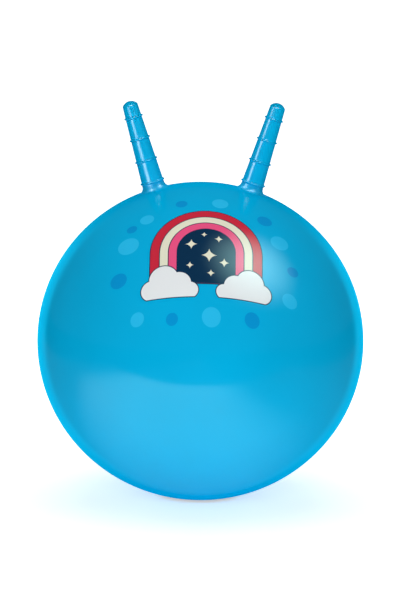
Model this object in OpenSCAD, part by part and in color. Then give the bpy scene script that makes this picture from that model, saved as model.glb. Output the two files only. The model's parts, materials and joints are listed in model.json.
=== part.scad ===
// Hopper ball: an inflated PVC ball that a child sits on, with two ribbed horns to hold.
// The ball rests on the ground on a small flat patch, centred on the origin. +Z is up and -Y is the front.

/* [Ball] */
// Width of the inflated ball at its equator
ball_d = 450; // [400:5:550]
// How much lower than wide the ball sits
ball_squat = 11; // [4:1:30]
// Wall of the ball's skin
skin_wall = 1.2; // [0.8:0.1:2.4]
// Width of the flat patch that the ball rests on
patch_d = 64; // [40:1:100]

/* [Horns] */
// Lean of each horn from the vertical, in degrees
horn_tilt = 17; // [12:0.5:25]
// Length of a horn above the ball
horn_len = 126; // [100:1:160]
// Width of a horn where it leaves the ball
horn_root_d = 31.5; // [28:0.1:36]
// Width of a horn at the edge of its dome
horn_tip_d = 21.2; // [16:0.1:26]
// Wall of a horn
horn_wall = 2.2; // [1.6:0.1:3.5]
// Height of the dome on a horn's tip
dome_h = 5.8; // [4:0.1:9]
// Radius of the flare from the ball into a horn
flare_r = 9; // [5:0.5:10]

/* [Grip ribs] */
// Number of ribs on a horn
rib_count = 4; // [2:1:4]
// Height of the lowest rib above the ball
rib_first = 11.1; // [10.5:0.1:13]
// Distance from the top rib to the edge of the dome
rib_tip_gap = 17; // [8:0.1:25]
// Radius of the bead that makes a rib
rib_r = 1.5; // [1:0.1:2]

/* [Bend at the root] */
// Height above the ball of the centre that a horn bends about, fore and aft
fore_aft_h = 2; // [1:0.5:3]
// Height above the ball of the centre that a horn bends about, sideways
sideways_h = 14; // [13:0.5:16]
// Height of the root ring's edge above the centre of the sideways bend
ring_rise = 8; // [7:0.5:9]
// Gap between the pieces that bend
bend_gap = 0.3; // [0.2:0.05:0.5]

/* [Valve seat] */
// How far below the equator the valve sits, in degrees
valve_angle = 25; // [15:1:40]
// Width of the bore that takes the plug
bore_d = 10.1; // [8:0.1:12]
// Wall of the seat around its bore
collar_wall = 3.95; // [3:0.05:6]
// Length of the bore
bore_len = 15; // [12:0.5:20]
// How far the bonded flange reaches past the collar
flange_reach = 8; // [5:0.5:12]
// Thickness of the bonded flange
flange_t = 1.6; // [1:0.1:2.5]

/* [Valve plug] */
// Running clearance between the plug's ridges and the bore
plug_clearance = 0.05; // [0.02:0.01:0.1]
// Number of sealing ridges on the stem
ridge_count = 3; // [2:1:4]
// How far a ridge stands out of the stem
ridge_depth = 0.7; // [0.4:0.1:1]
// Length of the stem below the head
stem_len = 18; // [16:0.5:24]
// Width of the head
head_d = 17; // [14.5:0.5:17.5]
// Thickness of the head
head_t = 2.8; // [2:0.1:4]
// Width of the head's foot, inside the rim that a fingernail lifts
head_foot_d = 13.6; // [12.5:0.1:14]
// Height of the gap under the head's rim
head_lift = 0.8; // [0.5:0.1:1.2]

/* [Hidden] */
$fn = 96;
overrun = 1;
left = -1;
right = 1;
skin_blue = "#00AEE2";
valve_white = "#ECEFF0";

// Each half of the ball is a cap of a sphere, as wide as the ball where the two halves meet
ball_r = ball_d / 2;
half_h = (ball_d - ball_squat) / 2;
cap_r = (ball_r * ball_r / half_h + half_h) / 2;
cap_offset = cap_r - half_h;
patch_r = patch_d / 2;
patch_cut = cap_r - sqrt(cap_r * cap_r - patch_r * patch_r);
equator_z = half_h - patch_cut;
top_centre_z = equator_z - cap_offset;
foot_centre_z = equator_z + cap_offset;

// A horn stands square to the ball: heights are measured from the ball's surface along the horn's own axis
root_r = horn_root_d / 2;
tip_r = horn_tip_d / 2;
cone_h = horn_len - dome_h;
dome_r = (tip_r * tip_r + dome_h * dome_h) / (2 * dome_h);
taper = (root_r - tip_r) / cone_h;
rib_pitch = (cone_h - rib_tip_gap - rib_first) / (rib_count - 1);
function horn_r(height) = root_r - taper * height;
function rib_height(index) = rib_first + index * rib_pitch;

// The neck, the root ring and the horn meet at faces that are round about the centres of the two bends
rim_margin = 0.2;
neck_rim_r = norm([horn_r(rib_first), rib_first - fore_aft_h]) + rib_r + rim_margin;
neck_top = fore_aft_h + neck_rim_r;
neck_bore_r = horn_r(rib_first) - horn_wall;
ring_in_r = neck_rim_r + bend_gap;
ring_out_r = norm([horn_r(sideways_h + ring_rise), ring_rise]);
ring_top = sideways_h + ring_out_r;
horn_rim_r = ring_out_r + bend_gap;

// The flare's arc runs a little into the ball and into the horn, so that the surfaces cross at an angle
flare_bite = 0.08;
flare_x = horn_r(flare_r) + flare_r - flare_bite;
flare_z = sqrt(pow(cap_r + flare_r - flare_bite, 2) - flare_x * flare_x) - cap_r;

// Radii of the valve, from its bore outwards
bore_r = bore_d / 2;
collar_r = bore_r + collar_wall;
flange_r = collar_r + flange_reach;
ridge_r = bore_r - plug_clearance;
stem_r = ridge_r - ridge_depth;
ridge_pitch = stem_len / (ridge_count + 1);
ridge_land = ridge_pitch / 4;
head_round = head_t / 4;

// Placing
module at_horn(side) {
    translate([0, 0, top_centre_z])
        rotate([0, side * horn_tilt, 0])
            translate([0, 0, cap_r])
                children();
}

module at_valve() {
    translate([0, 0, foot_centre_z])
        rotate([-90 - valve_angle, 0, 0])
            translate([0, 0, cap_r])
                children();
}

// The ball without its horns, all of it inset from the outside by the given depth
module ball_body(inset) {
    intersection() {
        translate([0, 0, top_centre_z]) sphere(cap_r - inset);
        translate([0, 0, foot_centre_z]) sphere(cap_r - inset);
        translate([-ball_r, -ball_r, inset]) cube([ball_d, ball_d, ball_d]);
    }
}

// The horn's straight taper between two heights, inset from the outside by the given depth
module taper_body(low, high, inset) {
    translate([0, 0, low])
        cylinder(h = high - low, r1 = horn_r(low) - inset, r2 = horn_r(high) - inset);
}

module tip_dome(inset) {
    translate([0, 0, cone_h])
        intersection() {
            translate([0, 0, dome_h - dome_r]) sphere(dome_r - inset);
            cylinder(h = dome_h, r = dome_r);
        }
}

module rib(index) {
    rotate_extrude()
        translate([horn_r(rib_height(index)), rib_height(index)])
            circle(rib_r);
}

// The neck that the ball's skin raises round a horn's root, with the lowest rib, still solid
module neck() {
    rotate_extrude()
        difference() {
            polygon([
                [0, -flare_r],
                [flare_x, -flare_r],
                [flare_x, flare_z],
                [horn_r(flare_z), flare_z],
                [horn_r(neck_top), neck_top],
                [0, neck_top]
            ]);
            translate([flare_x, flare_z]) circle(flare_r);
        }
    rib(0);
}

// What is cut away to leave the neck with a rim that is round about the centre of the fore-aft bend
module above_neck_rim() {
    difference() {
        translate([0, 0, rib_first]) cylinder(h = neck_top, r = flare_x);
        translate([0, 0, fore_aft_h]) sphere(neck_rim_r);
    }
}

// Pieces
module ball_skin() {
    color(skin_blue)
        difference() {
            union() {
                ball_body(0);
                for (side = [left, right]) at_horn(side) neck();
            }
            ball_body(skin_wall);
            for (side = [left, right])
                at_horn(side) {
                    above_neck_rim();
                    translate([0, 0, -flare_r]) cylinder(h = flare_r + neck_top + overrun, r = neck_bore_r);
                }
            at_valve() translate([0, 0, -flange_reach]) cylinder(h = 2 * flange_reach, r = collar_r);
        }
}

module root_ring(side) {
    color(skin_blue)
        at_horn(side)
            difference() {
                intersection() {
                    taper_body(fore_aft_h, ring_top, 0);
                    translate([0, 0, sideways_h]) sphere(ring_out_r);
                }
                translate([0, 0, fore_aft_h]) sphere(ring_in_r);
                taper_body(fore_aft_h, ring_top + overrun, horn_wall);
            }
}

module horn(side) {
    color(skin_blue)
        at_horn(side)
            difference() {
                union() {
                    taper_body(sideways_h, cone_h, 0);
                    tip_dome(0);
                    for (index = [1 : rib_count - 1]) rib(index);
                }
                translate([0, 0, sideways_h]) sphere(horn_rim_r);
                taper_body(sideways_h, cone_h, horn_wall);
                tip_dome(horn_wall);
            }
}

module valve_seat() {
    color(skin_blue)
        at_valve()
            difference() {
                union() {
                    translate([0, 0, -bore_len]) cylinder(h = bore_len, r = collar_r);
                    intersection() {
                        translate([0, 0, -bore_len]) cylinder(h = bore_len, r = flange_r);
                        translate([0, 0, -cap_r])
                            difference() {
                                sphere(cap_r - skin_wall);
                                sphere(cap_r - skin_wall - flange_t);
                            }
                    }
                }
                translate([0, 0, -bore_len - overrun]) cylinder(h = bore_len + 2 * overrun, r = bore_r);
            }
}

// One sealing ridge's outline, from the stem out to its land and back, counted from the stem's tip
function ridge_outline(index) = let (z = (index + 0.5) * ridge_pitch - stem_len) [
    [stem_r, z],
    [ridge_r, z + ridge_land],
    [ridge_r, z + 2 * ridge_land],
    [stem_r, z + 2 * ridge_land]
];

module valve_plug() {
    head_r = head_d / 2;
    color(valve_white)
        at_valve()
            rotate_extrude()
                polygon(concat(
                    [[0, -stem_len], [stem_r - ridge_depth, -stem_len], [stem_r, ridge_depth - stem_len]],
                    [for (index = [0 : ridge_count - 1]) each ridge_outline(index)],
                    [
                        [stem_r, 0],
                        [head_foot_d / 2, 0],
                        [head_foot_d / 2, head_lift],
                        [head_r, head_lift],
                        [head_r, head_t - head_round],
                        [head_r - head_round, head_t],
                        [0, head_t]
                    ]
                ));
}

ball_skin();
root_ring(left);  // left_root_ring
horn(left);  // left_horn
root_ring(right);  // right_root_ring
horn(right);  // right_horn
valve_seat();
valve_plug();
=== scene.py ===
# Hopper ball: the looks of the inflated ball, its two ribbed horns and its air valve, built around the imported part.
import json
import math

import bmesh
import bpy
from mathutils import Matrix, Vector


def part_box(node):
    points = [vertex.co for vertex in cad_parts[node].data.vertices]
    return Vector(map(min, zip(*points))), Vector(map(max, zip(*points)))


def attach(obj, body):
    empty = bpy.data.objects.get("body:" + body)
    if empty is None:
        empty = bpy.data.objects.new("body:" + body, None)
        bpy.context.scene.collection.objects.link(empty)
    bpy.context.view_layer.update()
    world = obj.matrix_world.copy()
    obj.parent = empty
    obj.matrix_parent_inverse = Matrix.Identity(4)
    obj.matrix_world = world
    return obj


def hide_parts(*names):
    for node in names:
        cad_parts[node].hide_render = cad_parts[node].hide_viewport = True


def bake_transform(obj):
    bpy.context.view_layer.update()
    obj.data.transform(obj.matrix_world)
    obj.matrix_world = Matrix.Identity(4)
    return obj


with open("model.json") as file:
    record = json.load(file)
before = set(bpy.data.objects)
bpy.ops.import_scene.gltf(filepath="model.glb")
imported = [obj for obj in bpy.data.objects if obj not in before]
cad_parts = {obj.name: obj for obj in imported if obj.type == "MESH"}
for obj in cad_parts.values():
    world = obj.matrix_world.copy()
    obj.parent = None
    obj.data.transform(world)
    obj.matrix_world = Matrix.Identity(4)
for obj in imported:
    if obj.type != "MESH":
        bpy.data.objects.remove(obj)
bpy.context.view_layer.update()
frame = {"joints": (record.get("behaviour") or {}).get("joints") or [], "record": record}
joints = {joint["name"]: joint for joint in frame["joints"]}
mounts = {mount["name"]: mount for mount in frame["record"]["mounts"]}

# The photograph's frame, in pixels
PHOTO_WIDTH = 401
PHOTO_HEIGHT = 601
BALL_AT = (200.4, 340.8)
BALL_WIDE = 326.4

# The camera: a long lens, a little above the ball and turned a little about its own line of sight
CAMERA_RISE = math.radians(8.5)
CAMERA_TURN = math.radians(0.85)
CAMERA_DISTANCE = 5.0
SENSOR = 36.0

# The ball, in metres as all sizes below
BALL_HALF_WIDTH = 0.225
BALL_HALF_HEIGHT = 0.2195
BALL_MIDDLE = 0.217214
BALL_SEGMENTS = 192
BALL_RINGS = 96
SKIN_WALL = 0.0012

# A horn: heights run up its own axis from the ball
ROOT_RADIUS = 0.01575
SHOULDER_RADIUS = 0.0106
SHOULDER_HEIGHT = 0.1202
SHOULDER_SOFT = 0.0010
DOME_RISE = 0.0058
DOME_POINTS = 12
HORN_WALL = 0.0022
HORN_STEPS = 80
BORE_HEIGHTS = (0.112, 0.08, 0.045, 0.03, 0.022, 0.017)
BORE_DOME_POINTS = 8

# A rib: how far its bead and the fillet at its foot stand out and reach, and the rows of skin below it
RIB_HEIGHTS = (0.0111, 0.0418, 0.0725, 0.1032)
RIB_OUT = 0.0019
RIB_HALF = 0.0012
RIB_FOOT = ((0.00018, 0.0014), (0.00004, 0.0016), (0.0, 0.0019))
RIB_ARC = 75
RIB_POINTS = 11
ROWS_BELOW_RIB = (0.022, 0.015, 0.008)

# The neck: the flare that carries a horn, up to just above the lowest rib
FLARE_RADIUS = 0.009
FLARE_POINTS = 9
FLARE_TRIES = 20
FOOT_RADIUS = 0.0262
FOOT_TUCK = 0.0009
FOOT_DIP = 0.00005
NECK_TOP = 0.0132
NECK_BORE = 0.0131
FORE_AFT_RISE = 0.002

# The valve: radii from its axis, heights out of the ball's skin
SEAT_RADIUS = 0.009
SEAT_DEPTH = 0.015
SEAT_BORE = 0.00505
SEAT_EDGE = 0.0006
VALVE_STEPS = 64
PLUG_STEM = 0.0043
PLUG_RIDGE = 0.0050
PLUG_LENGTH = 0.018
PLUG_HEAD = 0.0085
PLUG_FOOT = 0.0068
PLUG_LIFT = 0.0008
PLUG_TOP = 0.0028
PLUG_DISH = 0.0005
RIDGE_HEIGHTS = (-0.01575, -0.01125, -0.00675)
RIDGE_HALF = 0.0011

CORNER_POINTS = 5
SMOOTH_BELOW = math.radians(32)
TIE = 1e-6


def deselect_all():
    bpy.ops.object.select_all(action="DESELECT")


def keep_active(piece):
    """The piece alone is selected and active."""
    deselect_all()
    piece.select_set(True)
    bpy.context.view_layer.objects.active = piece


def fix_place(piece):
    """The piece's place goes into its mesh, so that its object sits at the origin."""
    keep_active(piece)
    bpy.ops.object.transform_apply(location=True, rotation=True, scale=True)


def apply_modifier(piece, kind, **settings):
    """Adds one modifier to the piece and applies it."""
    keep_active(piece)
    modifier = piece.modifiers.new(kind.lower(), kind)
    for setting, value in settings.items():
        setattr(modifier, setting, value)
    bpy.ops.object.modifier_apply(modifier=modifier.name)


def smooth(piece):
    keep_active(piece)
    bpy.ops.object.shade_smooth_by_angle(angle=SMOOTH_BELOW)


def arc(centre, radius, start, end, points):
    """Points of an arc in an outline, with its angles in degrees from straight outwards."""
    turn = [math.radians(start + (end - start) * i / (points - 1)) for i in range(points)]
    return [(centre[0] + radius * math.cos(t), centre[1] + radius * math.sin(t)) for t in turn]


def soft_corner(before, corner, after):
    """Points that round an outline's corner between a point before it and one after it."""
    found = []
    for i in range(CORNER_POINTS):
        t = i / (CORNER_POINTS - 1)
        found.append(tuple(
            (1 - t) ** 2 * a + 2 * t * (1 - t) * b + t * t * c for a, b, c in zip(before, corner, after)
        ))
    return found


def spin_outline(name, outline, steps, closed):
    """A piece turned round the z axis from an outline of radii and heights, drawn point by point."""
    # A small plane, merged into one point, starts the outline
    deselect_all()
    bpy.ops.mesh.primitive_plane_add(size=SKIN_WALL)
    piece = bpy.context.object
    piece.name = piece.data.name = name
    bpy.ops.object.mode_set(mode="EDIT")
    bpy.ops.mesh.select_all(action="SELECT")
    bpy.ops.mesh.merge(type="CENTER")
    bpy.ops.transform.translate(value=(outline[0][0], 0, outline[0][1]))
    for (radius, height), (next_radius, next_height) in zip(outline, outline[1:]):
        bpy.ops.mesh.extrude_region_move(
            TRANSFORM_OT_translate={"value": (next_radius - radius, 0, next_height - height)}
        )
    if closed:
        # The outline's two ends are joined by an edge
        drawn = bmesh.from_edit_mesh(piece.data)
        drawn.verts.ensure_lookup_table()
        for vertex in drawn.verts:
            vertex.select_set(vertex.index in (0, len(outline) - 1))
        drawn.select_flush_mode()
        bmesh.update_edit_mesh(piece.data)
        bpy.ops.mesh.edge_face_add()
    bpy.ops.mesh.select_all(action="SELECT")
    bpy.ops.mesh.spin(steps=steps, angle=2 * math.pi, center=(0, 0, 0), axis=(0, 0, 1))
    bpy.ops.mesh.select_all(action="SELECT")
    bpy.ops.mesh.remove_doubles(threshold=TIE)
    bpy.ops.mesh.delete_loose()
    bpy.ops.mesh.select_all(action="SELECT")
    bpy.ops.mesh.normals_make_consistent(inside=False)
    bpy.ops.object.mode_set(mode="OBJECT")
    return piece


def stand_on(piece, place, axis):
    """Stands a piece that was turned round the z axis on a place, along an axis."""
    turn = Vector((0, 0, 1)).rotation_difference(axis).to_matrix().to_4x4()
    piece.matrix_world = Matrix.Translation(place) @ turn
    fix_place(piece)


# Where the pieces stand
ball_middle = Vector((0, 0, BALL_MIDDLE))
valve_axis = Vector(joints["plug_pull"]["axis"]).normalized()


def ball_out(point):
    """The direction straight out of the ball's skin at a point on it."""
    offset = point - ball_middle
    return Vector((
        offset.x / BALL_HALF_WIDTH ** 2, offset.y / BALL_HALF_WIDTH ** 2, offset.z / BALL_HALF_HEIGHT ** 2
    )).normalized()


def on_ball(start, direction):
    """Where a line from inside the ball passes out through its skin."""
    stretch = Vector((1, 1, BALL_HALF_WIDTH / BALL_HALF_HEIGHT))
    offset = (start - ball_middle) * stretch
    line = direction * stretch
    half = offset.dot(line)
    reach = -half + math.sqrt(half ** 2 - line.dot(line) * (offset.dot(offset) - BALL_HALF_WIDTH ** 2))
    return start + direction * (reach / line.dot(line))


def horn_axis(side):
    return Vector(mounts[side + "_grip"]["axis"]).normalized()


def horn_root(side):
    """Where a horn's axis leaves the ball, below the centre of its fore-aft bend."""
    return Vector(joints[side + "_fore_aft"]["pos_m"]) - FORE_AFT_RISE * horn_axis(side)


valve_place = on_ball(ball_middle, (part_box("valve_plug")[0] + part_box("valve_plug")[1]) / 2 - ball_middle)


def cut_cap(place, out, radius):
    """Takes a round cap off the ball's skin, of a radius, about a place on it."""
    depth = BALL_HALF_WIDTH - math.sqrt(BALL_HALF_WIDTH ** 2 - radius ** 2)
    bpy.ops.mesh.select_all(action="SELECT")
    bpy.ops.mesh.bisect(plane_co=place - depth * out, plane_no=out, clear_outer=True)


def make_ball():
    """The inflated skin: a ball a little lower than wide, flat where it rests, open at the horns and the valve."""
    deselect_all()
    bpy.ops.mesh.primitive_uv_sphere_add(
        segments=BALL_SEGMENTS, ring_count=BALL_RINGS, radius=BALL_HALF_WIDTH, location=ball_middle
    )
    ball = bpy.context.object
    ball.name = ball.data.name = "inflated_ball"
    ball.scale.z = BALL_HALF_HEIGHT / BALL_HALF_WIDTH
    fix_place(ball)
    bpy.ops.object.mode_set(mode="EDIT")
    bpy.ops.mesh.select_all(action="SELECT")
    bpy.ops.mesh.bisect(plane_co=(0, 0, 0), plane_no=(0, 0, 1), use_fill=True, clear_inner=True)
    for side in ("left", "right"):
        place = on_ball(horn_root(side) - SKIN_WALL * horn_axis(side), horn_axis(side))
        cut_cap(place, ball_out(place), FOOT_RADIUS - FOOT_TUCK)
    cut_cap(valve_place, ball_out(valve_place), SEAT_RADIUS)
    bpy.ops.mesh.select_all(action="SELECT")
    bpy.ops.mesh.remove_doubles(threshold=TIE)
    bpy.ops.mesh.normals_make_consistent(inside=False)
    bpy.ops.object.mode_set(mode="OBJECT")
    apply_modifier(ball, "SOLIDIFY", thickness=SKIN_WALL, offset=-1)
    smooth(ball)
    return ball


def horn_radius(height):
    """The radius of a horn's straight taper at a height."""
    return ROOT_RADIUS - (ROOT_RADIUS - SHOULDER_RADIUS) * height / SHOULDER_HEIGHT


def rib_outline(height):
    """A half-round rib with a small fillet at its foot on each side."""
    found = [(out, -rise) for out, rise in reversed(RIB_FOOT)]
    for i in range(RIB_POINTS):
        turn = math.radians(-RIB_ARC + 2 * RIB_ARC * i / (RIB_POINTS - 1))
        found.append((RIB_OUT * math.cos(turn), RIB_HALF * math.sin(turn)))
    found += list(RIB_FOOT)
    return [(horn_radius(height + rise) + out, height + rise) for out, rise in found]


def skin_height(radius):
    """How high the ball's skin lies at a distance from a horn's axis, from where that axis passes through it."""
    return math.sqrt(BALL_HALF_WIDTH ** 2 - radius ** 2) - BALL_HALF_WIDTH


def make_neck(side):
    """The flare that the ball's skin raises round a horn, with the lowest rib."""
    lean = math.atan((ROOT_RADIUS - SHOULDER_RADIUS) / SHOULDER_HEIGHT)
    # The middle of the flare's arc, tried until the arc touches both the ball and the leaning side of the horn
    flare_height = FLARE_RADIUS
    for _ in range(FLARE_TRIES):
        flare_out = ROOT_RADIUS + FLARE_RADIUS / math.cos(lean) - flare_height * math.tan(lean)
        flare_height = math.sqrt((BALL_HALF_WIDTH + FLARE_RADIUS) ** 2 - flare_out ** 2) - BALL_HALF_WIDTH
    foot_turn = math.degrees(math.atan2(flare_height + BALL_HALF_WIDTH, flare_out)) - 180
    outside = [(FOOT_RADIUS, skin_height(FOOT_RADIUS) - FOOT_DIP)]
    outside += arc((flare_out, flare_height), FLARE_RADIUS, foot_turn, math.degrees(lean) - 180, FLARE_POINTS)
    outside += rib_outline(RIB_HEIGHTS[0]) + [(horn_radius(NECK_TOP), NECK_TOP)]
    inside = [(NECK_BORE, NECK_TOP), (NECK_BORE, FLARE_RADIUS / 2), (NECK_BORE, 0)]
    inside += [(radius, skin_height(radius) - SKIN_WALL) for radius in (ROOT_RADIUS, FOOT_RADIUS)]
    neck = spin_outline(side + "_horn_neck", outside + inside, HORN_STEPS, closed=True)
    stand_on(neck, horn_root(side), horn_axis(side))
    smooth(neck)
    return neck


def make_horn(side):
    """The hollow horn above its lowest rib, with a soft shoulder and a domed tip."""
    dome_radius = (SHOULDER_RADIUS ** 2 + DOME_RISE ** 2) / (2 * DOME_RISE)
    dome_middle = SHOULDER_HEIGHT + DOME_RISE - dome_radius
    edge_turn = math.degrees(math.atan2(dome_radius - DOME_RISE, SHOULDER_RADIUS))
    soft_turn = math.degrees(SHOULDER_SOFT / dome_radius)
    dome = arc((0, dome_middle), dome_radius, edge_turn + soft_turn, 90, DOME_POINTS)
    below = SHOULDER_HEIGHT - SHOULDER_SOFT
    outside = [(horn_radius(NECK_TOP), NECK_TOP)]
    for height in RIB_HEIGHTS[1:]:
        outside += [(horn_radius(height - gap), height - gap) for gap in ROWS_BELOW_RIB]
        outside += rib_outline(height)
    outside += soft_corner((horn_radius(below), below), (SHOULDER_RADIUS, SHOULDER_HEIGHT), dome[0]) + dome[1:]
    inside = arc((0, dome_middle), dome_radius - HORN_WALL, 90, edge_turn + soft_turn, BORE_DOME_POINTS)
    inside += [(horn_radius(height) - HORN_WALL, height) for height in BORE_HEIGHTS + (NECK_TOP,)]
    horn = spin_outline(side + "_grip_horn", outside + inside, HORN_STEPS, closed=True)
    stand_on(horn, horn_root(side), horn_axis(side))
    smooth(horn)
    return horn


def make_valve_seat():
    """The collar of the valve, flush with the ball's skin, with a bore that takes the plug."""
    outline = soft_corner(
        (SEAT_BORE, -SEAT_EDGE), (SEAT_BORE, 0), (SEAT_BORE + SEAT_EDGE, 0)
    ) + soft_corner(
        (SEAT_RADIUS - SEAT_EDGE, 0), (SEAT_RADIUS, 0), (SEAT_RADIUS, -SEAT_EDGE)
    ) + soft_corner(
        (SEAT_RADIUS, SEAT_EDGE - SEAT_DEPTH), (SEAT_RADIUS, -SEAT_DEPTH), (SEAT_RADIUS - SEAT_EDGE, -SEAT_DEPTH)
    ) + [(SEAT_BORE, -SEAT_DEPTH)]
    seat = spin_outline("valve_collar", outline, VALVE_STEPS, closed=True)
    stand_on(seat, valve_place, valve_axis)
    smooth(seat)
    return seat


def make_valve_plug():
    """The stopper: a ridged stem under a head with a rim that a fingernail lifts."""
    outline = [(0, -PLUG_LENGTH)] + soft_corner(
        (PLUG_STEM / 2, -PLUG_LENGTH), (PLUG_STEM, -PLUG_LENGTH), (PLUG_STEM, -PLUG_LENGTH + RIDGE_HALF)
    )
    for height in RIDGE_HEIGHTS:
        outline += [(PLUG_STEM, height - RIDGE_HALF)]
        outline += soft_corner(
            (PLUG_STEM, height - RIDGE_HALF / 2), (PLUG_RIDGE, height), (PLUG_RIDGE, height + RIDGE_HALF / 2)
        )
        outline += [(PLUG_RIDGE, height + RIDGE_HALF), (PLUG_STEM, height + RIDGE_HALF + TIE)]
    middle = (PLUG_LIFT + PLUG_TOP) / 2
    outline += [(PLUG_STEM, 0), (PLUG_FOOT, 0), (PLUG_FOOT, PLUG_LIFT)]
    outline += soft_corner((PLUG_HEAD - SEAT_EDGE, PLUG_LIFT), (PLUG_HEAD, PLUG_LIFT), (PLUG_HEAD, middle))
    outline += soft_corner((PLUG_HEAD, middle), (PLUG_HEAD, PLUG_TOP), (PLUG_FOOT, PLUG_TOP))
    outline += soft_corner(
        (PLUG_FOOT - SEAT_EDGE, PLUG_TOP), (PLUG_STEM, PLUG_TOP), (PLUG_STEM, PLUG_TOP - PLUG_DISH)
    ) + [(0, PLUG_TOP - PLUG_DISH)]
    plug = spin_outline("valve_stopper", outline, VALVE_STEPS, closed=False)
    stand_on(plug, valve_place, valve_axis)
    smooth(plug)
    return plug


# Colours: the curve that a screen's values follow, and the colours themselves
SCREEN_FULL = 255
CURVE_START = 0.04045
CURVE_SLOPE = 12.92
CURVE_OFFSET = 0.055
CURVE_POWER = 2.4


def linear(red, green, blue):
    """A colour in the shader's own scale, from screen values of 0 to 255."""
    return tuple(
        v / CURVE_SLOPE if v <= CURVE_START else ((v + CURVE_OFFSET) / (1 + CURVE_OFFSET)) ** CURVE_POWER
        for v in (red / SCREEN_FULL, green / SCREEN_FULL, blue / SCREEN_FULL)
    ) + (1,)


BLACK = (0, 0, 0, 1)
WHITE = (1, 1, 1, 1)
SKIN_BLUE = linear(0, 176, 226)
SHEEN_BLUE = linear(20, 205, 255)
SPOT_LIGHT = linear(40, 192, 240)
SPOT_DEEP = linear(0, 150, 214)
INK_NAVY = linear(8, 46, 78)
INK_RED = linear(206, 40, 62)
INK_PINK = linear(240, 84, 134)
INK_CREAM = linear(235, 232, 208)
INK_WHITE = linear(236, 239, 240)
PLUG_WHITE = linear(232, 235, 236)
SHEET_WHITE = linear(244, 244, 244)
FLOOR_GREY = linear(120, 122, 124)
ROOM_GREY = linear(147, 149, 151)

# Unevenness of the vinyl and the stopper: each noise's scale and detail, and what its values are spread over
NOISE_SPAN = (0.3, 0.7)
SKIN_TONE_NOISE = (7.0, 2.0)
SKIN_TONE = (0.965, 1.035)
SKIN_HAZE_NOISE = (34.0, 4.0)
SKIN_ROUGHNESS = (0.10, 0.15)
SKIN_WAVE_NOISE = (11.0, 1.0)
SKIN_PEEL_NOISE = (900.0, 1.0)
PEEL_SHARE = 0.008
PLUG_GRAIN_NOISE = (1500.0, 2.0)
PLUG_TONE_NOISE = (160.0, 2.0)
PLUG_TONE = (0.95, 1.02)
PLUG_ROUGHNESS = 0.42

# Bumps: strength, and depth in metres
SKIN_BUMP = (1.0, 0.00045)
PLUG_BUMP = (0.4, 0.00004)

# The vinyl's gloss: how far from facing the eye it starts to fall off and where it ends, from 0 to 1, and its level.
# The ball's gloss is tinted with its own blue, and the necks are a little rougher, so that their glints are softer.
BALL_GLOSS = (0.12, 0.78)
HORN_GLOSS = (0.18, 0.62)
BALL_LEVEL = 0.75
PLAIN_LEVEL = 0.5
BALL_TINT = (0.5, 1.0, 0.95, 1.0)
NECK_SOFTNESS = 0.15
VINYL_IOR = 1.49

# The vinyl's bright edge is a sheen: how far from facing the eye it starts and is full, from 0 to 1, and its weight.
# On the ball it fades out with the distance above and below the middle.
SHEEN_EDGE = (0.63, 0.73)
SHEEN_ROUGH = 0.50
SHEEN_FADE = (0.11, 0.20)
BALL_SHEEN = 1.0
HORN_SHEEN = 0.15

# The print: flat shapes placed across and up from its middle, in metres
INK_EDGE = 0.0002
OUTLINE = 0.0013
PRINT_LATITUDE = math.radians(41.5)
PRINT_ACROSS = 0.006
PRINT_DEPTH = 0.28
FAR_AWAY = 5.0
ARCH_MIDDLE = (0.0, 0.0, 0.0)
ARCH_FOOT = -0.0480
ARCH_INKS = (
    (0.0755, ARCH_FOOT - OUTLINE, INK_NAVY), (0.0742, ARCH_FOOT, INK_RED), (0.0628, ARCH_FOOT, INK_NAVY),
    (0.0615, ARCH_FOOT, INK_CREAM), (0.0511, ARCH_FOOT, INK_NAVY), (0.0498, ARCH_FOOT, INK_PINK),
    (0.0394, ARCH_FOOT, INK_NAVY),
)
TWINKLE_POWER = 0.6
TWINKLES = (
    (-0.0200, 0.0120, 0.0085), (0.0165, 0.0215, 0.0060), (0.0040, -0.0060, 0.0110), (-0.0215, -0.0215, 0.0055),
    (0.0240, -0.0165, 0.0070), (-0.0030, 0.0285, 0.0045), (0.0065, -0.0330, 0.0055),
)
CLOUD_LINE = -0.0660
CLOUDS = (
    (
        (-0.0720, -0.0540, 0.0135), (-0.0560, -0.0400, 0.0190), (-0.0360, -0.0480, 0.0165),
        (-0.0210, -0.0570, 0.0110), (-0.0480, -0.0600, 0.0215),
    ),
    (
        (0.0240, -0.0580, 0.0100), (0.0400, -0.0500, 0.0160), (0.0590, -0.0420, 0.0180),
        (0.0740, -0.0540, 0.0130), (0.0500, -0.0600, 0.0225),
    ),
)
SPOTS_LIGHT = (
    (-0.104, 0.022, 0.0140), (-0.080, 0.066, 0.0095), (0.018, 0.094, 0.0110), (0.098, 0.034, 0.0120),
    (0.112, -0.052, 0.0100), (0.008, -0.092, 0.0125), (-0.090, -0.088, 0.0090),
)
SPOTS_DEEP = (
    (-0.116, -0.030, 0.0110), (-0.100, 0.052, 0.0070), (-0.034, 0.092, 0.0080), (0.078, 0.070, 0.0100),
    (0.116, -0.008, 0.0075), (0.062, -0.090, 0.0100), (-0.044, -0.094, 0.0080),
)


# Nodes
def add_node(tree, kind, feeds=(), **settings):
    """A node with its settings, and its inputs by name or number: a value, or a socket to link from."""
    made = tree.nodes.new(kind)
    for setting, value in settings.items():
        setattr(made, setting, value)
    for name, value in dict(feeds).items():
        if isinstance(value, bpy.types.NodeSocket):
            tree.links.new(value, made.inputs[name])
        else:
            made.inputs[name].default_value = value
    return made


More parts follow.
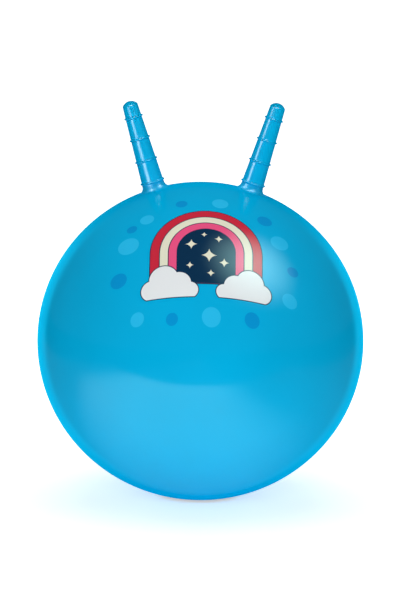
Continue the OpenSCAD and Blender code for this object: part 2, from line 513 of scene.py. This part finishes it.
def start_group(name, inputs, outputs):
    """An empty shader group with named sockets, and the nodes at its two ends."""
    group = bpy.data.node_groups.new(name, "ShaderNodeTree")
    for socket, kind in inputs:
        group.interface.new_socket(name=socket, in_out="INPUT", socket_type="NodeSocket" + kind)
    for socket, kind in outputs:
        group.interface.new_socket(name=socket, in_out="OUTPUT", socket_type="NodeSocket" + kind)
    return group, group.nodes.new("NodeGroupInput").outputs, group.nodes.new("NodeGroupOutput").inputs


def place_group(tree, group, feeds):
    return add_node(tree, "ShaderNodeGroup", feeds, node_tree=group).outputs


def math_node(tree, operation, *values):
    return add_node(tree, "ShaderNodeMath", dict(enumerate(values)), operation=operation).outputs[0]


def vector_node(tree, operation, *values):
    """The outputs of a vector sum: the vector comes first, and a length or distance goes by the name Value."""
    return add_node(tree, "ShaderNodeVectorMath", dict(enumerate(values)), operation=operation).outputs


def parts_of(tree, vector):
    return add_node(tree, "ShaderNodeSeparateXYZ", {0: vector}).outputs


def noise(tree, position, scale, detail):
    feeds = {"Vector": position, "Scale": scale, "Detail": detail}
    return add_node(tree, "ShaderNodeTexNoise", feeds).outputs[0]


def ramp(tree, value, span, start, end, curve="SMOOTHSTEP"):
    """Runs from a start to an end while a value crosses a span."""
    feeds = {0: value, 1: span[0], 2: span[1], 3: start, 4: end}
    return add_node(tree, "ShaderNodeMapRange", feeds, interpolation_type=curve).outputs[0]


def mix_colours(tree, share, first, second):
    """Two colours mixed, with the given share of the second. The node's colour sockets go by number."""
    return add_node(tree, "ShaderNodeMix", {0: share, 6: first, 7: second}, data_type="RGBA").outputs[2]


def uneven_tone(tree, colour, value, tone):
    """A colour made a little lighter and darker by a noise."""
    lightness = ramp(tree, value, NOISE_SPAN, *tone, curve="LINEAR")
    return add_node(tree, "ShaderNodeHueSaturation", {"Value": lightness, "Color": colour}).outputs[0]


def bump_node(tree, height, strength, depth):
    feeds = {"Strength": strength, "Distance": depth, "Height": height}
    return add_node(tree, "ShaderNodeBump", feeds).outputs[0]


def soft_vinyl_group():
    """Glossy soft vinyl: faint unevenness of tone and gloss, slow waves of the blown skin and a fine peel."""
    group, given, put = start_group(
        "soft_vinyl", [("Position", "Vector"), ("Colour", "Color"), ("Softness", "Float")],
        [("Colour", "Color"), ("Roughness", "Float"), ("Height", "Float")],
    )
    position = given["Position"]
    tinted = uneven_tone(group, given["Colour"], noise(group, position, *SKIN_TONE_NOISE), SKIN_TONE)
    haze = ramp(group, noise(group, position, *SKIN_HAZE_NOISE), NOISE_SPAN, *SKIN_ROUGHNESS, curve="LINEAR")
    waves = noise(group, position, *SKIN_WAVE_NOISE)
    peel = noise(group, position, *SKIN_PEEL_NOISE)
    group.links.new(tinted, put["Colour"])
    group.links.new(math_node(group, "ADD", haze, given["Softness"]), put["Roughness"])
    group.links.new(math_node(group, "MULTIPLY_ADD", peel, PEEL_SHARE, waves), put["Height"])
    return group


def disc_group():
    """How far a point of the print lies outside a round spot."""
    group, given, put = start_group(
        "round_spot", [("Point", "Vector"), ("Centre", "Vector"), ("Radius", "Float")], [("Outside", "Float")]
    )
    offset = vector_node(group, "SUBTRACT", given["Point"], given["Centre"])[0]
    flat = vector_node(group, "MULTIPLY", offset, (1, 0, 1))[0]
    reach = vector_node(group, "LENGTH", flat)["Value"]
    group.links.new(math_node(group, "SUBTRACT", reach, given["Radius"]), put["Outside"])
    return group


def arch_group():
    """How far a point of the print lies outside an upright arch with straight legs."""
    group, given, put = start_group(
        "upright_arch", [("Point", "Vector"), ("Middle", "Vector"), ("Foot", "Float"), ("Radius", "Float")],
        [("Outside", "Float")],
    )
    across, _, up = parts_of(group, vector_node(group, "SUBTRACT", given["Point"], given["Middle"])[0])
    above = add_node(group, "ShaderNodeCombineXYZ", {0: across, 2: math_node(group, "MAXIMUM", up, 0.0)})
    reach = vector_node(group, "LENGTH", above.outputs[0])["Value"]
    ring = math_node(group, "SUBTRACT", reach, given["Radius"])
    height = parts_of(group, given["Point"])[2]
    below_foot = math_node(group, "SUBTRACT", given["Foot"], height)
    group.links.new(math_node(group, "MAXIMUM", ring, below_foot), put["Outside"])
    return group


def twinkle_group():
    """How far a point of the print lies outside a four-pointed twinkle."""
    group, given, put = start_group(
        "twinkle", [("Point", "Vector"), ("Centre", "Vector"), ("Reach", "Float")], [("Outside", "Float")]
    )
    sides = parts_of(group, vector_node(group, "SUBTRACT", given["Point"], given["Centre"])[0])
    across, up = (
        math_node(group, "POWER", math_node(group, "ABSOLUTE", sides[i]), TWINKLE_POWER) for i in (0, 2)
    )
    star = math_node(group, "POWER", math_node(group, "ADD", across, up), 1 / TWINKLE_POWER)
    group.links.new(math_node(group, "SUBTRACT", star, given["Reach"]), put["Outside"])
    return group


def ink_group():
    """One ink laid over what is under it, out to a distance past its shape's edge."""
    group, given, put = start_group(
        "ink_layer", [("Under", "Color"), ("Ink", "Color"), ("Outside", "Float"), ("Reach", "Float")],
        [("Colour", "Color")],
    )
    past = math_node(group, "SUBTRACT", given["Outside"], given["Reach"])
    cover = ramp(group, past, (INK_EDGE, -INK_EDGE), 0.0, 1.0, curve="LINEAR")
    group.links.new(mix_colours(group, cover, given["Under"], given["Ink"]), put["Colour"])
    return group


# Materials
def start_material(name):
    """A new material, its node tree, its shader and the place on the piece that is shaded."""
    material = bpy.data.materials.new(name)
    material.use_nodes = True
    tree = material.node_tree
    position = add_node(tree, "ShaderNodeTexCoord").outputs["Object"]
    return material, tree, tree.nodes["Principled BSDF"], position


def finish_vinyl(
    tree, shader, vinyl, position, colour, gloss_range, sheen, softness=0.0, level=PLAIN_LEVEL, tint=WHITE
):
    """Gives the shader the soft vinyl's look over a colour."""
    skin = place_group(tree, vinyl, {"Position": position, "Colour": colour, "Softness": softness})
    facing = add_node(tree, "ShaderNodeLayerWeight").outputs["Facing"]
    tree.links.new(skin["Colour"], shader.inputs["Base Color"])
    tree.links.new(skin["Roughness"], shader.inputs["Roughness"])
    tree.links.new(bump_node(tree, skin["Height"], *SKIN_BUMP), shader.inputs["Normal"])
    tree.links.new(ramp(tree, facing, gloss_range, level, 0.0), shader.inputs["Specular IOR Level"])
    tree.links.new(ramp(tree, facing, SHEEN_EDGE, 0.0, sheen), shader.inputs["Sheen Weight"])
    shader.inputs["IOR"].default_value = VINYL_IOR
    shader.inputs["Specular Tint"].default_value = tint
    shader.inputs["Sheen Roughness"].default_value = SHEEN_ROUGH
    shader.inputs["Sheen Tint"].default_value = SHEEN_BLUE


def plain_vinyl(name, vinyl, colour, gloss_range, sheen, softness=0.0):
    """Soft vinyl of one colour."""
    material, tree, shader, position = start_material(name)
    finish_vinyl(tree, shader, vinyl, position, colour, gloss_range, sheen, softness)
    return material


def printed_vinyl(name, vinyl):
    """The ball's vinyl with its print: an arch of colours on two clouds, among spots in the skin's own blue."""
    material, tree, shader, position = start_material(name)
    disc = disc_group()
    arch = arch_group()
    twinkle = twinkle_group()
    ink = ink_group()
    toward = Vector((0, -math.cos(PRINT_LATITUDE), math.sin(PRINT_LATITUDE)))
    upward = Vector((0, math.sin(PRINT_LATITUDE), math.cos(PRINT_LATITUDE)))
    middle = on_ball(ball_middle, toward)
    laid = add_node(tree, "ShaderNodeMapping", {
        "Vector": position, "Rotation": (PRINT_LATITUDE, 0, 0), "Location": (-PRINT_ACROSS, 0, -middle.dot(upward))
    }).outputs[0]
    # Points on the back of the ball are moved far away, so that the print shows on the front alone
    at_back = math_node(tree, "GREATER_THAN", parts_of(tree, laid)[1], -PRINT_DEPTH)
    aside = add_node(tree, "ShaderNodeCombineXYZ", {2: math_node(tree, "MULTIPLY", at_back, FAR_AWAY)})
    point = vector_node(tree, "ADD", laid, aside.outputs[0])[0]
    height = parts_of(tree, point)[2]

    def nearest(group, size, shapes):
        found = None
        for across, up, reach in shapes:
            one = place_group(tree, group, {"Point": point, "Centre": (across, 0, up), size: reach})[0]
            found = one if found is None else math_node(tree, "MINIMUM", found, one)
        return found

    def lay(under, colour, outside, reach=0.0):
        return place_group(tree, ink, {"Under": under, "Ink": colour, "Outside": outside, "Reach": reach})[0]

    colour = lay(SKIN_BLUE, SPOT_LIGHT, nearest(disc, "Radius", SPOTS_LIGHT))
    colour = lay(colour, SPOT_DEEP, nearest(disc, "Radius", SPOTS_DEEP))
    for radius, foot, band_ink in ARCH_INKS:
        band = {"Point": point, "Middle": ARCH_MIDDLE, "Foot": foot, "Radius": radius}
        colour = lay(colour, band_ink, place_group(tree, arch, band)[0])
    colour = lay(colour, INK_CREAM, nearest(twinkle, "Reach", TWINKLES))
    for cloud in CLOUDS:
        puffs = nearest(disc, "Radius", cloud)
        shape = math_node(tree, "MAXIMUM", puffs, math_node(tree, "SUBTRACT", CLOUD_LINE, height))
        colour = lay(colour, INK_NAVY, shape, OUTLINE)
        colour = lay(colour, INK_WHITE, shape)
    above_middle = math_node(tree, "SUBTRACT", parts_of(tree, position)[2], BALL_MIDDLE)
    sheen = ramp(tree, math_node(tree, "ABSOLUTE", above_middle), SHEEN_FADE, BALL_SHEEN, 0.0)
    finish_vinyl(tree, shader, vinyl, position, colour, BALL_GLOSS, sheen, level=BALL_LEVEL, tint=BALL_TINT)
    return material


def stopper_plastic():
    """Satin white plastic with a faint moulded grain."""
    material, tree, shader, position = start_material("stopper_white")
    tinted = uneven_tone(tree, PLUG_WHITE, noise(tree, position, *PLUG_TONE_NOISE), PLUG_TONE)
    grain = noise(tree, position, *PLUG_GRAIN_NOISE)
    tree.links.new(tinted, shader.inputs["Base Color"])
    tree.links.new(bump_node(tree, grain, *PLUG_BUMP), shader.inputs["Normal"])
    shader.inputs["Roughness"].default_value = PLUG_ROUGHNESS
    return material


def give(piece, material):
    piece.data.materials.clear()
    piece.data.materials.append(material)


# The pieces; the ball, the valve collar and the stopper each on the body that carries it
vinyl = soft_vinyl_group()
ball_skin = printed_vinyl("printed_ball_vinyl", vinyl)
neck_skin = plain_vinyl("neck_vinyl", vinyl, SKIN_BLUE, BALL_GLOSS, HORN_SHEEN, NECK_SOFTNESS)
horn_skin = plain_vinyl("horn_vinyl", vinyl, SKIN_BLUE, HORN_GLOSS, HORN_SHEEN)
seat_skin = plain_vinyl("valve_seat_vinyl", vinyl, SPOT_DEEP, BALL_GLOSS, BALL_SHEEN)

ball = make_ball()
give(ball, ball_skin)
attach(ball, "ball")
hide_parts("ball_skin")

necks, horns = [], []
for side in ("left", "right"):
    neck = make_neck(side)
    give(neck, neck_skin)
    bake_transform(neck)
    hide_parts(side + "_root_ring")
    horn = make_horn(side)
    give(horn, horn_skin)
    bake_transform(horn)
    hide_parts(side + "_horn")
    necks.append(neck)
    horns.append(horn)

seat = make_valve_seat()
give(seat, seat_skin)
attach(seat, "ball")
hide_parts("valve_seat")

plug = make_valve_plug()
give(plug, stopper_plastic())
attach(plug, "plug")
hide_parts("valve_plug")

# The studio: a sheet of white paper on a wide floor, in a bright room. The camera sees all of it white, but for a soft
# shadow under the ball. The ball mirrors the front of the sheet brightly, and the rest of the sheet, the floor and the
# room much dimmer than the camera sees them.
SHEET_FRONT = -0.68
SHEET_BACK = 16.0
SHEET_HALF = 1.2
SHEET_MIRRORED = 1.0
FLOOR_HALF = 30.0
FLOOR_UNDER = 0.003
FLOOR_MIRRORED = 0.05
PAPER_ROUGHNESS = 0.9
ROOM_LIGHT = 1.0
ROOM_MIRRORED = 0.2

# How strongly the paper glows near the ball and away from it, and the distances between which that changes
GLOW_NEAR = 0.50
GLOW_FAR = 1.0
GLOW_SPAN = (0.30, 1.10)

# Where the mirrored paper fades out to the left, to the right and toward the back, and how dark it gets there
SHADE_LEFT = (-0.38, -0.95)
SHADE_RIGHT = (0.05, 0.36)
SHADE_BEHIND = (-0.24, 0.02)
SHADE_DEPTH = 0.85

# A soft lamp's middle and how far it fades out, as shares of its width
LAMP_MIDDLE = (0.5, 0.5, 0)
LAMP_FADE = (0.0, 0.5)

# Lamps that give light but no glint: places and sizes in metres, powers in watts
KEY_PLACE = (-0.1, -3.2, 0.9)
KEY_SIZE = (2.6, 2.6)
KEY_POWER = 235
TOP_PLACE = (0, 0.3, 2.6)
TOP_SIZE = (2.4, 2.4)
TOP_POWER = 27
BOUNCE_PLACE = (0, 0, 0.004)
BOUNCE_SIZE = (1.2, 1.2)
BOUNCE_POWER = 1.4
BOUNCE_ALONG = (0, 1, 0)
RIM_LIGHTS = (("left_rim_light", (-1.03, 1.70, 0.22)), ("right_rim_light", (1.03, 1.70, 0.22)))
RIM_SIZE = (0.5, 0.9)
RIM_POWER = 14
HORN_FILL_PLACE = (0, -2.0, 1.6)
HORN_FILL_SIZE = (2.4, 1.3)
HORN_FILL_POWER = 13

# Lamps that only show in the gloss: which way they lie from what they light, and how far away
BALL_GLINT_WAY = Vector((0.485, -0.30, 0.82))
BALL_GLINT_AWAY = 1.3
BALL_GLINT_SIZE = (1.55, 1.55)
BALL_GLINT_POWER = 37
BALL_GLINT_ALONG = (-0.33, 0.92, 0.34)
HORN_GLINTS = (
    ("left", Vector((-0.466, -0.831, -0.29)), 0.75),
    ("right", Vector((-0.88, -0.454, 0.135)), 0.6),
)
HORN_GLINT_AWAY = 0.8
HORN_GLINT_LENGTH = 1.1
HORN_GLINT_BRIGHT = 9
NECK_GLINTS = (
    ("left_neck_glint", Vector((-0.58, -0.2, 0.8)), (0.1, 0.6, 0.5)),
    ("right_neck_glint", Vector((0.45, -0.26, 0.81)), (-0.5, 0.6, 0.3)),
)
NECKS_MIDDLE = Vector((0, 0, 0.44))
NECK_GLINT_AWAY = 0.8
NECK_GLINT_SIZE = (0.5, 1.5)
NECK_GLINT_POWER = 34
HORNS_MIDDLE = Vector((0, 0, 0.5))
EDGE_GLINT_WAY = Vector((0, -0.77, 0.64))
EDGE_GLINT_AWAY = 1.2
EDGE_GLINT_SIZE = (2.4, 1.3)
EDGE_GLINT_POWER = 150


def studio_paper(name, colour, near, far, mirrored_share):
    """Matt paper that glows to the camera, the more so away from the ball, and by its own share in mirrors."""
    material, tree, shader, position = start_material(name)
    reach = vector_node(tree, "LENGTH", position)["Value"]
    glow = ramp(tree, reach, GLOW_SPAN, near, far)
    across, along, _ = parts_of(tree, position)
    bright = mirrored_share
    for side, span in ((across, SHADE_LEFT), (across, SHADE_RIGHT), (along, SHADE_BEHIND)):
        bright = math_node(tree, "MULTIPLY", ramp(tree, side, span, 1.0, 0.0), bright)
    path = add_node(tree, "ShaderNodeLightPath").outputs
    mirrored = math_node(tree, "ADD", path["Is Glossy Ray"], path["Is Transmission Ray"])
    shade = math_node(tree, "MULTIPLY", math_node(tree, "SUBTRACT", 1.0, bright), SHADE_DEPTH)
    dimmed = math_node(tree, "MULTIPLY", mirrored, shade)
    seen = math_node(tree, "MULTIPLY_ADD", mirrored, bright, path["Is Camera Ray"])
    tree.links.new(mix_colours(tree, dimmed, colour, BLACK), shader.inputs["Base Color"])
    tree.links.new(math_node(tree, "MULTIPLY", seen, glow), shader.inputs["Emission Strength"])
    shader.inputs["Emission Color"].default_value = WHITE
    shader.inputs["Roughness"].default_value = PAPER_ROUGHNESS
    shader.inputs["Specular IOR Level"].default_value = 0.0
    return material


def make_floor():
    """The wide floor, a little below the sheet."""
    deselect_all()
    bpy.ops.mesh.primitive_plane_add(size=2 * FLOOR_HALF, location=(0, 0, -FLOOR_UNDER))
    floor = bpy.context.object
    floor.name = floor.data.name = "studio_floor"
    fix_place(floor)
    give(floor, studio_paper("studio_floor_grey", FLOOR_GREY, GLOW_FAR, GLOW_FAR, FLOOR_MIRRORED))
    return floor


def make_sheet():
    """White paper laid on the floor, from its front edge back past what the camera sees."""
    deselect_all()
    bpy.ops.mesh.primitive_plane_add(size=1)
    sheet = bpy.context.object
    sheet.name = sheet.data.name = "white_sheet"
    sheet.scale = (2 * SHEET_HALF, SHEET_BACK - SHEET_FRONT, 1)
    sheet.location = (0, (SHEET_BACK + SHEET_FRONT) / 2, 0)
    fix_place(sheet)
    give(sheet, studio_paper("sheet_white", SHEET_WHITE, GLOW_NEAR, GLOW_FAR, SHEET_MIRRORED))
    return sheet


def lit_only(name, pieces):
    """A collection for lamps that light only these pieces."""
    group = bpy.data.collections.new(name)
    for piece in pieces:
        group.objects.link(piece)
    return group


def soften_lamp(data):
    """A lamp that is brightest in its middle and fades out all round."""
    data.use_nodes = True
    tree = data.node_tree
    emission = next(node for node in tree.nodes if node.type == "EMISSION")
    place = add_node(tree, "ShaderNodeNewGeometry").outputs["Parametric"]
    flat = vector_node(tree, "MULTIPLY", place, (1, 1, 0))[0]
    reach = vector_node(tree, "DISTANCE", flat, LAMP_MIDDLE)["Value"]
    tree.links.new(ramp(tree, reach, LAMP_FADE, 1.0, 0.0), emission.inputs["Strength"])


def soft_light(name, place, target, size, power, along=(0, 0, 1), only=None, matt=True, mirrored=True, soft=False):
    """A rectangular studio lamp that faces a target, with its length laid along a direction."""
    data = bpy.data.lights.new(name, "AREA")
    data.shape = "RECTANGLE"
    data.size, data.size_y = size
    data.energy = power
    # A lamp that mirrors don't see would still leave a faint glint if this sampling were on
    data.cycles.use_multiple_importance_sampling = mirrored
    lamp = bpy.data.objects.new(name, data)
    bpy.context.scene.collection.objects.link(lamp)
    back = (Vector(place) - Vector(target)).normalized()
    run = Vector(along)
    run = (run - run.dot(back) * back).normalized()
    turn = Matrix((run.cross(back), run, back)).transposed().to_4x4()
    lamp.matrix_world = Matrix.Translation(place) @ turn
    lamp.visible_camera = False
    lamp.visible_diffuse = matt
    lamp.visible_glossy = mirrored
    if only:
        lamp.light_linking.receiver_collection = only
    if soft:
        soften_lamp(data)


def make_studio():
    """The floor, the sheet and the lamps."""
    stage = [make_floor(), make_sheet()]
    below_horns = lit_only("lit_below_horns", [ball, seat, plug] + necks + stage)
    ball_only = lit_only("lit_ball", [ball, seat, plug] + necks)
    skin_only = lit_only("lit_skin", [ball, seat, plug])
    necks_only = lit_only("lit_necks", necks)
    horns_only = lit_only("lit_horns", horns)
    soft_light("front_key", KEY_PLACE, ball_middle, KEY_SIZE, KEY_POWER, mirrored=False, soft=True)
    soft_light("top_fill", TOP_PLACE, ball_middle, TOP_SIZE, TOP_POWER, only=below_horns, mirrored=False)
    soft_light(
        "floor_bounce", BOUNCE_PLACE, ball_middle, BOUNCE_SIZE, BOUNCE_POWER,
        along=BOUNCE_ALONG, only=ball_only, mirrored=False,
    )
    for name, place in RIM_LIGHTS:
        soft_light(name, place, ball_middle, RIM_SIZE, RIM_POWER, mirrored=False)
    soft_light(
        "ball_glint", ball_middle + BALL_GLINT_AWAY * BALL_GLINT_WAY, ball_middle, BALL_GLINT_SIZE, BALL_GLINT_POWER,
        along=BALL_GLINT_ALONG, only=skin_only, matt=False, soft=True,
    )
    for (side, way, width), horn, neck in zip(HORN_GLINTS, horns, necks):
        middle = horn_root(side) + SHOULDER_HEIGHT / 2 * horn_axis(side)
        power = HORN_GLINT_BRIGHT * math.pi * width * HORN_GLINT_LENGTH
        soft_light(
            side + "_horn_glint", middle + HORN_GLINT_AWAY * way, middle, (width, HORN_GLINT_LENGTH), power,
            along=horn_axis(side), only=lit_only("lit_" + side, [horn, neck]), matt=False, soft=True,
        )
    for name, way, along in NECK_GLINTS:
        soft_light(
            name, NECKS_MIDDLE + NECK_GLINT_AWAY * way, NECKS_MIDDLE, NECK_GLINT_SIZE, NECK_GLINT_POWER,
            along=along, only=necks_only, matt=False, soft=True,
        )
    soft_light(
        "horn_edge_glint", HORNS_MIDDLE + EDGE_GLINT_AWAY * EDGE_GLINT_WAY, HORNS_MIDDLE, EDGE_GLINT_SIZE,
        EDGE_GLINT_POWER, only=horns_only, matt=False, soft=True,
    )
    soft_light(
        "horn_fill", HORN_FILL_PLACE, HORNS_MIDDLE, HORN_FILL_SIZE, HORN_FILL_POWER, only=horns_only, mirrored=False
    )


def make_room():
    """The light all round: white to the camera, grey on matt surfaces and dim in mirrors."""
    world = bpy.context.scene.world or bpy.data.worlds.new("studio_room")
    bpy.context.scene.world = world
    world.use_nodes = True
    tree = world.node_tree
    background = next(node for node in tree.nodes if node.type == "BACKGROUND")
    path = add_node(tree, "ShaderNodeLightPath").outputs
    strength = math_node(tree, "MULTIPLY_ADD", path["Is Glossy Ray"], ROOM_MIRRORED - ROOM_LIGHT, ROOM_LIGHT)
    tree.links.new(mix_colours(tree, path["Is Camera Ray"], ROOM_GREY, WHITE), background.inputs["Color"])
    tree.links.new(strength, background.inputs["Strength"])


def make_camera():
    """A long lens that puts the ball where the photograph has it."""
    data = bpy.data.cameras.new("photo_camera")
    camera = bpy.data.objects.new("photo_camera", data)
    bpy.context.scene.collection.objects.link(camera)
    focus = BALL_WIDE / 2 / math.tan(math.asin(BALL_HALF_WIDTH / CAMERA_DISTANCE))
    data.sensor_width = SENSOR
    data.lens = focus * SENSOR / max(PHOTO_WIDTH, PHOTO_HEIGHT)
    turn = Matrix.Rotation(math.radians(90) - CAMERA_RISE, 4, "X") @ Matrix.Rotation(CAMERA_TURN, 4, "Z")
    right, up, back = (turn.to_3x3().col[i] for i in range(3))
    scale = CAMERA_DISTANCE / focus
    aim = ball_middle - scale * (BALL_AT[0] - PHOTO_WIDTH / 2) * right + scale * (BALL_AT[1] - PHOTO_HEIGHT / 2) * up
    camera.matrix_world = Matrix.Translation(aim + CAMERA_DISTANCE * back) @ turn
    bpy.context.scene.camera = camera


make_studio()
make_room()
make_camera()
bpy.context.scene.view_settings.view_transform = "Standard"
